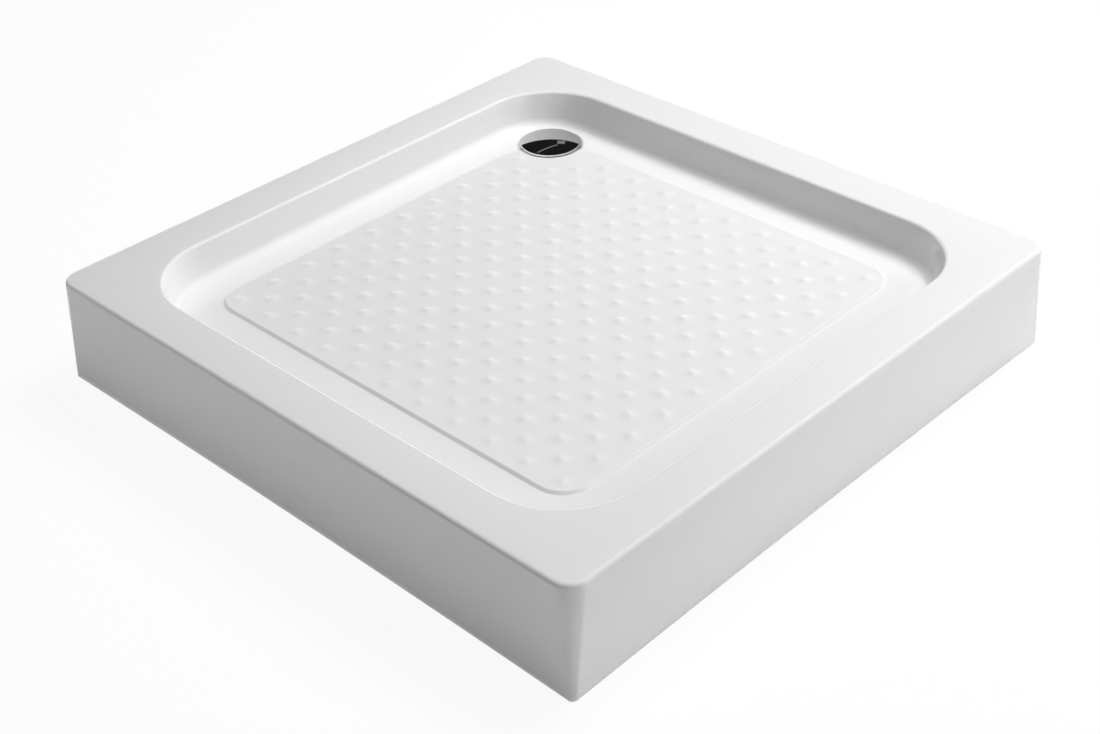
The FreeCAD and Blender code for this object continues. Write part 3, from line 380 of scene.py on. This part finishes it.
def tray_rows():
    """The profile of the tray as loops: from the seam out over platform, floor, wall and rim, down
    the skirt, and back up and in on the hidden side."""
    rows = between(seam_square(TREAD_Z), tread_loop(TREAD_TOP, TREAD_Z), np.linspace(0, 1, 24))
    for row in rows:
        row[:, 2] += stud_height(row[:, 0], row[:, 1])
    # The platform's edge slopes down at 50 degrees between two small roundings.
    steep, soft = radians(50), 1.2
    for a in np.linspace(0, steep, 5)[1:]:
        rows.append(tread_loop(TREAD_TOP + soft * sin(a), TREAD_Z - soft * (1 - cos(a))))
    for a in np.linspace(steep, 0, 5):
        rows.append(tread_loop(TREAD_FOOT - soft * sin(a), FLOOR_Z + soft * (1 - cos(a))))
    rows += between(rows[-1], basin_loop(FLOOR_EDGE, FLOOR_Z), (0.12, 0.35, 0.65, 0.9))
    # The wall leans out by 11.9 over its height, between a hollow of 14 and a lip of 5.
    wall, hollow, lip = pi / 2 - np.arctan(11.9 / (RIM_Z - FLOOR_Z)), 14.0, 5.0
    for a in np.linspace(0, wall, 12):
        rows.append(basin_loop(FLOOR_EDGE + hollow * sin(a), FLOOR_Z + hollow * (1 - cos(a))))
    reach = lip * tan(wall / 2)
    top = basin_loop(LIP - reach * cos(wall), RIM_Z - reach * sin(wall))
    rows += between(rows[-1], top, (0.33, 0.66))
    # The rim is crowned by 0.6, so the lip and the outer edge lie that much lower. On the lip the
    # lowering fades out downwards, to nothing at 10 below the rim.
    crown, edge = 0.6, 6.0
    for a in np.linspace(wall, 0, 9):
        row = basin_loop(LIP + reach - lip * sin(a), RIM_Z - lip * (1 - cos(a)))
        row[:, 2] -= crown * (row[:, 2] - (RIM_Z - 10)) / 10
        rows.append(row)
    shares = np.linspace(0, 1, 12)[1:]
    rim = between(rows[-1], rounded_square(RIM_EDGE - edge, RIM_CORNER - edge, RIM_Z), shares)
    for row, share in zip(rim, shares):
        row[:, 2] = RIM_Z - crown * (2 * share - 1) ** 2
    rows += rim
    for a in np.linspace(0.06, pi / 2, 10):
        rows.append(skirt_loop(RIM_Z - crown - edge * (1 - cos(a)), edge * (1 - sin(a))))
    rows += [skirt_loop(z, 0) for z in (132, 120, 105, 90, 75, 60, 45, 30, 18, 8, 1.2)]
    # The foot's trimmed edge, then the hidden side of a sheet 3.6 thick.
    sheet, inner_rim = 3.6, 145.8
    rows += [skirt_loop(0, 0.6), skirt_loop(0, 3.0)]
    rows += [skirt_loop(z, sheet) for z in (0.8, 40, 80, 120, inner_rim)]
    rows += [basin_loop(LIP + sheet, inner_rim), basin_loop(378.0, 112.0), basin_loop(373.0, 104.0),
             basin_loop(366.0, 99.6), basin_loop(356.0, UNDERSIDE_Z)]
    rows += between(rows[-1], seam_square(UNDERSIDE_Z), (0.5, 1.0))
    return np.array(rows)


def tread_parts():
    """The middle of the platform: an even square grid with the studs on top, sides, and one flat
    face below."""
    steps = LOOP // 4
    run = np.linspace(-SEAM, SEAM, steps + 1)
    x, y = np.meshgrid(run + TREAD_MIDDLE[0], run + TREAD_MIDDLE[1], indexing="ij")
    top = np.stack([x, y, TREAD_Z + stud_height(x, y)], axis=-1).reshape(-1, 3)
    index = np.arange((steps + 1) ** 2).reshape(steps + 1, steps + 1)
    faces = np.stack([index[:-1, :-1], index[1:, :-1], index[1:, 1:], index[:-1, 1:]], axis=-1)
    faces = faces.reshape(-1, 4)
    border = np.concatenate([index[:-1, 0], index[-1, :-1], index[:0:-1, -1], index[0, :0:-1]])
    below = top[border] * (1, 1, 0) + (0, 0, UNDERSIDE_Z)
    lower = np.arange(len(border)) + len(top)
    side = np.stack([border, lower, np.roll(lower, -1), np.roll(border, -1)], axis=-1)
    return np.concatenate([top, below]), faces, side, lower[None, ::-1]


def turned_rows(profile, axis=WASTE, turns=160):
    """Loops for a profile of (radius, z) pairs turned round an upright axis."""
    angle = np.linspace(0, 2 * pi, turns, endpoint=False)
    far, z = np.array(profile).T
    return np.stack([axis[0] + far[:, None] * np.cos(angle), axis[1] + far[:, None] * np.sin(angle),
                     z[:, None] + 0 * angle], axis=-1)


def capped(rows):
    """The faces of a tube of loops, from the lowest up, closed with one flat face at each end."""
    around = rows.shape[1]
    first, last = np.arange(around), np.arange(around) + (len(rows) - 1) * around
    return skin(rows)[:, ::-1], first[None, ::-1], last[None]


def cut_out(piece, tool, sharp=38):
    """Takes the closed solid tool out of a piece, for good."""
    cut = piece.modifiers.new("opening", "BOOLEAN")
    cut.operation, cut.solver, cut.object = "DIFFERENCE", "MANIFOLD", tool
    bpy.context.view_layer.update()
    shaped = bpy.data.meshes.new_from_object(piece.evaluated_get(bpy.context.evaluated_depsgraph_get()))
    piece.modifiers.remove(cut)
    piece.data = shaped
    shaped.set_sharp_from_angle(angle=radians(sharp))
    bpy.data.objects.remove(tool)


def white_acrylic():
    """Glossy white sheet: a faint cloudiness, slightly uneven gloss and the orange peel of a mould."""
    finish = Finish("white_acrylic")
    tone = finish.blend(finish.noise(5.0, 4), (0.800, 0.800, 0.800), (0.826, 0.826, 0.826))
    gloss = finish.ramp(finish.noise(14.0, 6, 0.65), (0.35, 0.085), (0.75, 0.15))
    return finish.surface(Base_Color=tone, Roughness=gloss, IOR=1.49, Coat_Weight=0.25,
                          Coat_Roughness=0.04, Normal=finish.bump(finish.noise(90.0, 2), 0.00006, 0.5))


acrylic = white_acrylic()
rows = tray_rows()
tray = solid("tray_moulding", rows.reshape(-1, 3), skin(rows, round_again=True))
# The hole for the waste, with a recess for the flange's rim.
hole, recess, recess_z = 42.0, 50.0, 101.0
opening = turned_rows([(hole, 80.0), (hole, recess_z), (recess, recess_z), (recess, 140.0)])
cut_out(tray, solid("opening", opening.reshape(-1, 3), *capped(opening)))
finished(tray, acrylic, "tray", "white_acrylic", "tray_shell")
points, *faces = tread_parts()
finished(solid("tread_platform", points, *faces), acrylic, "tray", "white_acrylic", "tray_shell")


# --- Chrome waste ---------------------------------------------------------------------------------
# The flange is a turned and polished brass ring with a rolled rim, screwed down onto the tray. The
# cover is a pressed dome whose spigot drops into the hub of the grate, which lies in the flange.

def chrome_plate():
    """Polished chrome: nearly a mirror, with faint wiping marks."""
    finish = Finish("chrome_plate")
    dull = finish.ramp(finish.noise(60.0, 5, 0.6), (0.4, 0.02), (0.8, 0.06))
    return finish.surface(Base_Color=(0.80, 0.81, 0.82), Metallic=1.0, Roughness=dull)


def dressed(finish, *nodes):
    """Gives CAD nodes a finish and keeps their shapes."""
    for name in nodes:
        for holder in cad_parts[name].material_slots:
            holder.material = finish


chrome = chrome_plate()
# The ring's section: up its bore from the grate's seat, over the rolled rim, back under it, down the
# barrel, and in to the ledge that carries the dip tube.
rolled = 2.6
ring = [(36.0, 97.5), (36.0, 103.2), (36.4, 103.8), (37.0, 104.0)]
ring += [(45.4 + rolled * sin(a), 101.4 + rolled * cos(a)) for a in np.linspace(0, pi * 0.46, 9)]
ring += [(48.0, 102.05), (47.6, 102.0), (38.0, 102.0), (38.0, 76.5), (37.4, 76.0), (31.0, 76.0),
         (31.0, 78.5), (35.0, 78.5), (35.0, 97.5)]
rows = turned_rows(ring[::-1])
waste_ring = solid("waste_ring", rows.reshape(-1, 3), skin(rows, round_again=True))
finished(waste_ring, chrome, "tray", "chrome", "waste_flange")

DOME_HALF, DOME_RISE, DOME_UNDER, DOME_SHEET = 44.0, 3.0, 105.2, 1.5


def dome_height(r):
    """Height over the dome's foot at this radius: a part of a sphere whose radius is (half span
    squared + rise squared) / (2 times rise)."""
    bend = (DOME_HALF ** 2 + DOME_RISE ** 2) / (2 * DOME_RISE)
    return sqrt(bend ** 2 - r ** 2) - (bend - DOME_RISE)


# The cover's section: the spigot's end, the underside, the turned-in edge and the top.
edge_r, edge_round = 43.0, 1.0
edge_z = DOME_UNDER + DOME_SHEET - edge_round + dome_height(edge_r)
dome = [(0.3, 100.05), (3.6, 100.05), (4.0, 100.4), (4.0, 104.05), (8.0, 104.1)]
dome += [(r, DOME_UNDER + dome_height(r)) for r in np.linspace(8.0, 42.4, 12)]
dome += [(43.0, 104.7), (43.5, 104.55), (43.9, 104.75)]
dome += [(edge_r + edge_round * sin(a), edge_z + edge_round * cos(a))
         for a in np.linspace(pi / 2, 0.3, 6)]
dome += [(r, DOME_UNDER + DOME_SHEET + dome_height(r)) for r in np.linspace(edge_r, 0.3, 24)]
rows = turned_rows(dome)
waste_dome = solid("waste_dome", rows.reshape(-1, 3), *capped(rows))
finished(waste_dome, chrome, "cover", "chrome", "waste_cover")
dressed(chrome, "waste_grate")


# --- Fibreglass backing ---------------------------------------------------------------------------
# Chopped glass strands in straw-coloured polyester resin, rolled by hand onto the back of the sheet,
# so the strands lie in every direction and the surface is rough and partly wet with resin.

def chopped_strands():
    """Nine layers of strands, three in each plane of two axes. Each is cloudy values stretched about
    40 times along one direction and kept where they pass a level, and the highest of them shows."""
    finish = Finish("fibreglass")
    strands = None
    along, across = 26.0, 1100.0
    for turns in ((0, 0, 8), (0, 0, 66), (0, 0, 127), (0, 22, 0), (0, 81, 3), (0, -40, 0), (0, 35, 90),
                  (0, 88, 93), (0, -28, 90)):
        cloud = finish.noise(1.0, 2, 0.5, finish.stretched(turns, (along, across, across)))
        layer = finish.ramp(cloud, (0.61, 0.0), (0.69, 1.0))
        strands = layer if strands is None else strands.most(layer)
    wet = finish.noise(9.0, 4, 0.6)
    resin = finish.blend(wet, (0.50, 0.42, 0.23), (0.62, 0.56, 0.38))
    tone = finish.blend(strands * 0.75, resin, (0.78, 0.75, 0.62))
    height = strands * 0.6 + finish.noise(55.0, 4, 0.6)
    return finish.surface(Base_Color=tone, Roughness=finish.ramp(wet, (0.35, 0.30), (0.65, 0.68)),
                          Normal=finish.bump(height, 0.0006, 0.8))


dressed(chopped_strands(), "fibreglass_backing")


# --- Base board -----------------------------------------------------------------------------------
# Raw 12 mm chipboard under the floor, bonded in with resin: flakes of light and dark wood pressed
# flat, coarser in the middle of the sawn edge, with glue-dark specks.

def chipboard():
    """Flakes are three layers of cells, longer one way than the other, with a shade for each, added
    up. Specks are fine noise."""
    finish = Finish("chipboard")
    flakes = None
    for turn in (20, 82, 141):
        where = finish.stretched((0, 0, turn), (230.0, 520.0, 480.0))
        shade = finish.node("ShaderNodeTexVoronoi", {}, {"Vector": where, "Scale": 1.0}, 1)
        grey = finish.node("ShaderNodeRGBToBW", {}, {0: shade}) * 0.34
        flakes = grey if flakes is None else flakes + grey
    wood = finish.ramp(flakes, (0.15, (0.30, 0.19, 0.10)), (0.45, (0.50, 0.36, 0.20)),
                       (0.62, (0.58, 0.44, 0.27)), (0.85, (0.70, 0.57, 0.39)))
    specks = finish.ramp(finish.noise(700.0, 2), (0.60, 0.0), (0.68, 1.0))
    tone = finish.blend(specks * 0.5, wood, (0.16, 0.10, 0.06))
    return finish.surface(Base_Color=tone, Roughness=finish.ramp(flakes, (0.2, 0.78), (0.8, 0.92)),
                          Normal=finish.bump(flakes + specks * 0.4, 0.0003, 0.7))


dressed(chipboard(), "base_board")


# --- Steel frame ----------------------------------------------------------------------------------
# Square steel tube, angle brackets, screws and nuts, all bright zinc plated: bluish silver with a
# faint rainbow-yellow bloom, drawn lines along the tubes, and duller patches where it was handled.

def zinc_plate(name, grain):
    """Zinc with cloudy dulling, a yellow bloom and fine lines stretched along one direction."""
    finish = Finish(name)
    dull = finish.noise(26.0, 6, 0.62)
    bloom = finish.ramp(finish.noise(11.0, 3), (0.48, 0.0), (0.72, 1.0))
    lines = finish.noise(1.0, 3, 0.6, finish.stretched((0, 0, 0), grain))
    silver = finish.blend(dull, (0.50, 0.52, 0.55), (0.66, 0.68, 0.70))
    tone = finish.blend(bloom * 0.35, silver, (0.66, 0.61, 0.46))
    rough = finish.ramp(dull * 0.7 + lines * 0.3, (0.35, 0.22), (0.65, 0.42))
    return finish.surface(Base_Color=tone, Metallic=1.0, Roughness=rough,
                          Normal=finish.bump(lines, 0.00005, 0.6))


fine, drawn = 900.0, 12.0
zinc = zinc_plate("zinc_plate", (fine, fine, fine))
dressed(zinc_plate("zinc_tube_sides", (fine, drawn, fine)), "left_rail", "right_rail")
dressed(zinc_plate("zinc_tube_cross", (drawn, fine, fine)), "front_rail", "middle_rail", "back_rail")
dressed(zinc, "board_brackets", "board_screws", "corner_brackets", "frame_screws", "welded_nuts",
        "lock_nuts")


def black_moulding():
    """Black plastic with a fine spark-eroded texture, greyer where it has been rubbed."""
    finish = Finish("black_moulding")
    rubbed = finish.ramp(finish.noise(45.0, 5, 0.6), (0.45, 0.0), (0.75, 1.0))
    grain = finish.noise(1900.0, 2)
    return finish.surface(Base_Color=finish.blend(rubbed, (0.018, 0.018, 0.019), (0.050, 0.050, 0.052)),
                          Roughness=finish.ramp(rubbed, (0.0, 0.42), (1.0, 0.58)),
                          Normal=finish.bump(grain, 0.00008, 0.6))


black = black_moulding()
dressed(black, "rail_end_plugs")


# --- Weld beads -----------------------------------------------------------------------------------
# Each foot's nut is welded to the underside of its rail: a lumpy bead along two opposite flats, as
# a hand-held torch leaves it. The nut's flats are 19 apart and the rail's underside is at 52.8.

FEET = {"front_left": (-335, -285), "front_right": (335, -285), "back_left": (-335, 165),
        "back_right": (335, 315), "middle": (0, -60), "back_middle": (0, 190)}


def weld_bead(x, y, side):
    """A ridge along one flat of a nut, half sunk in the rail: a slightly flat circle carried along x,
    whose radius swells by scallops about 1.7 long and closes at both ends."""
    half_length, radius, off, height = 5.2, 1.7, 9.6, 52.7
    run = np.linspace(-1, 1, 41)
    size = radius * np.sqrt(np.clip(1 - run ** 8, 0, 1)) * (1 + 0.13 * np.abs(np.sin(run * 9.5)))
    angle = np.linspace(0, 2 * pi, 14, endpoint=False)
    return np.stack([x + half_length * run[:, None] + 0 * angle,
                     y + side * off + size[:, None] * np.cos(angle),
                     height + size[:, None] * np.sin(angle) * 0.95], axis=-1)


def gathered(name, grids):
    """Several tubes of loops, each closed at its ends, as one object."""
    points, faces, start = [], [[], [], []], 0
    for rows in grids:
        for held, part in zip(faces, capped(rows)):
            held.append(part + start)
        points.append(rows.reshape(-1, 3))
        start += rows.shape[0] * rows.shape[1]
    return solid(name, np.concatenate(points), *[np.concatenate(part) for part in faces])


beads = gathered("weld_beads", [weld_bead(x, y, side)[::-1]
                                for x, y in FEET.values() for side in (-1, 1)])
beads.data.materials.append(zinc_plate("weld_metal", (300.0, 300.0, 300.0)))
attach(beads, "tray")


# --- Feet -----------------------------------------------------------------------------------------
# Each foot is a zinc-plated M12 stem with a rolled thread, a hexagon collar for the spanner and a
# plain end that swivels in a black moulded pad. The stem goes up through the welded nut.

def stem_rows(x, y):
    """Loops from the swivel end up: a hexagon's radius is 7.5 / cos of the angle from its flat, and
    the thread's is 6 less 0.85 times a flattened triangle of z / 1.75 less the turn."""
    around, pitch, radius, deep, flat, corner = 42, 1.75, 6.0, 0.85, 7.5, 8.1
    angle = np.linspace(0, 2 * pi, around, endpoint=False)
    plain = np.ones(around)
    hexagon = flat / np.cos((angle + pi / 6) % (pi / 3) - pi / 6)
    chamfered = np.minimum(hexagon, corner)
    shapes = [far * plain for far in (0.4, 4.6, 5.2, 5.2, 7.6)]
    heights = [4.06, 4.06, 4.7, 14.9, 15.0]
    shapes += [chamfered, hexagon, hexagon, chamfered, 6.4 * plain, 5.3 * plain]
    heights += [15.0, 15.5, 20.5, 21.0, 21.0, 22.2]
    rise, top = np.arange(22.6, 79.0, pitch / 7), 79.8
    wave = np.abs((rise[:, None] / pitch - angle / (2 * pi)) % 1 - 0.5) * 2
    groove = deep * np.clip(1.25 * wave - 0.12, 0, 1)
    # The thread grows out of the plain neck over 1.5, and the top is chamfered.
    fade = np.clip((rise - 22.4) / 1.5, 0, 1)[:, None]
    thread = radius - groove * fade - 0.55 * (1 - fade)
    thread = np.minimum(thread, 5.2 + (top - rise)[:, None] * 0.9)
    shapes += [*thread, 4.9 * plain, 0.4 * plain]
    heights += [*rise, top, top]
    far, z = np.array(shapes), np.array(heights)[:, None]
    return np.stack([x + far * np.cos(angle), y + far * np.sin(angle), z + 0 * angle], axis=-1)


for name, (x, y) in FEET.items():
    rows = stem_rows(x, y)
    stem = solid("threaded_stem_" + name, rows.reshape(-1, 3), *capped(rows), sharp=50)
    finished(stem, zinc, "stem_" + name, "zinc_steel", "foot_stem_" + name)
    dressed(black, "foot_pad_" + name)


# --- Seals ----------------------------------------------------------------------------------------
# Moulded black rubber rings above and below the tray's floor, on the dip tube and in the outlet:
# dull, with a pale bloom that comes off on the fingers.

def seal_rubber():
    """Dark rubber with cloudy grey bloom and a faint grain."""
    finish = Finish("seal_rubber")
    bloom = finish.ramp(finish.noise(70.0, 5, 0.65), (0.45, 0.0), (0.80, 1.0))
    return finish.surface(Base_Color=finish.blend(bloom, (0.016, 0.016, 0.017), (0.060, 0.060, 0.062)),
                          Roughness=finish.ramp(bloom, (0.0, 0.62), (1.0, 0.85)),
                          Normal=finish.bump(finish.noise(1200.0, 2), 0.00006, 0.5))


dressed(seal_rubber(), "upper_seal", "lower_seal", "dip_tube_seal", "outlet_seal")


# --- Trap -----------------------------------------------------------------------------------------
# White polypropylene body and union nut, injection moulded and slightly waxy, and a grey dip tube
# that lifts out by its grip. The body screws onto the flange's barrel from below.

def moulded_pipe(name, low, high):
    """Waxy plastic: slow waves of tone and gloss with the faint ripple of a warm mould."""
    finish = Finish(name)
    flow = finish.noise(18.0, 3, 0.55)
    return finish.surface(Base_Color=finish.blend(flow, low, high), Specular_IOR_Level=0.45,
                          Roughness=finish.ramp(finish.noise(40.0, 5, 0.6), (0.35, 0.26), (0.70, 0.40)),
                          Normal=finish.bump(flow + finish.noise(420.0, 2) * 0.12, 0.0002, 0.5))


dressed(moulded_pipe("trap_white", (0.74, 0.74, 0.73), (0.80, 0.80, 0.79)), "trap_body", "union_nut")
dressed(moulded_pipe("insert_grey", (0.24, 0.25, 0.27), (0.29, 0.30, 0.32)), "dip_tube")
